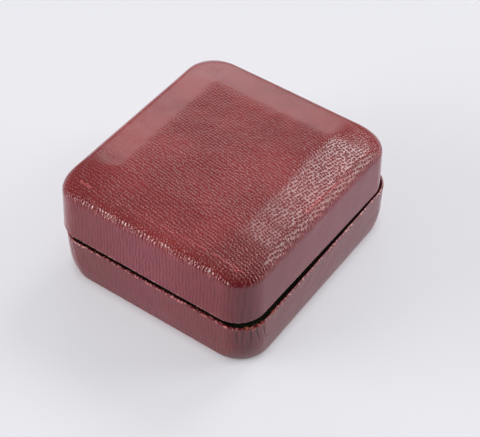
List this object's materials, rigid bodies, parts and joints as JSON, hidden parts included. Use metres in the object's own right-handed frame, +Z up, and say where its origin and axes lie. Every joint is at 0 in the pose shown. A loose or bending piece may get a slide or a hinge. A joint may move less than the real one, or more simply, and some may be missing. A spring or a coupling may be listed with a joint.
{
  "type": "coin presentation box",
  "caption": "Rectangular leatherette-covered box with a bevelled sprung lid, for holding one large round coin in a velvet well under a padded satin lid lining.",
  "frame": {"origin": "centre of the underside, on the face the box stands on", "axes": "+Z up, +Y towards the hinge at the rear, +X to the right seen from the front"},
  "size_m": [0.0602, 0.0683, 0.0329],
  "materials": {
    "leatherette": "dark rose leatherette with a fine pebble grain and a soft sheen",
    "pressed_steel": "bare pressed sheet steel, dull",
    "card": "grey-brown packing card",
    "velvet": "near-black short-pile velvet",
    "satin": "ivory satin",
    "wadding": "white polyester wadding",
    "hinge_steel": "plated steel, lightly dulled",
    "spring_steel": "blued spring steel"
  },
  "bodies": {
    "base": {"base_cover": "leatherette", "base_shell": "pressed_steel", "base_collar_card": "card", "base_collar_velvet": "velvet", "insert_riser": "card", "insert_board": "card", "insert_velvet": "velvet", "well_floor_card": "card", "well_floor_velvet": "velvet", "hinge_base_leaf": "hinge_steel", "base_hinge_rivets": "hinge_steel", "hinge_pin": "hinge_steel", "snap_spring": "spring_steel"},
    "lid": {"lid_cover": "leatherette", "lid_shell": "pressed_steel", "lid_collar_card": "card", "lid_collar_satin": "satin", "lid_pad_spacer": "card", "lid_pad_board": "card", "lid_pad_wadding": "wadding", "lid_pad_satin": "satin", "hinge_lid_leaf": "hinge_steel", "lid_hinge_rivets": "hinge_steel"}
  },
  "joints": [
    {"name": "lid_hinge", "type": "hinge", "parent": "base", "child": "lid", "pos_m": [0, 0.03325, 0.0135], "axis": [-1, 0, 0], "range_deg": [0, 95], "deforming": ["snap_spring"]}
  ]
}
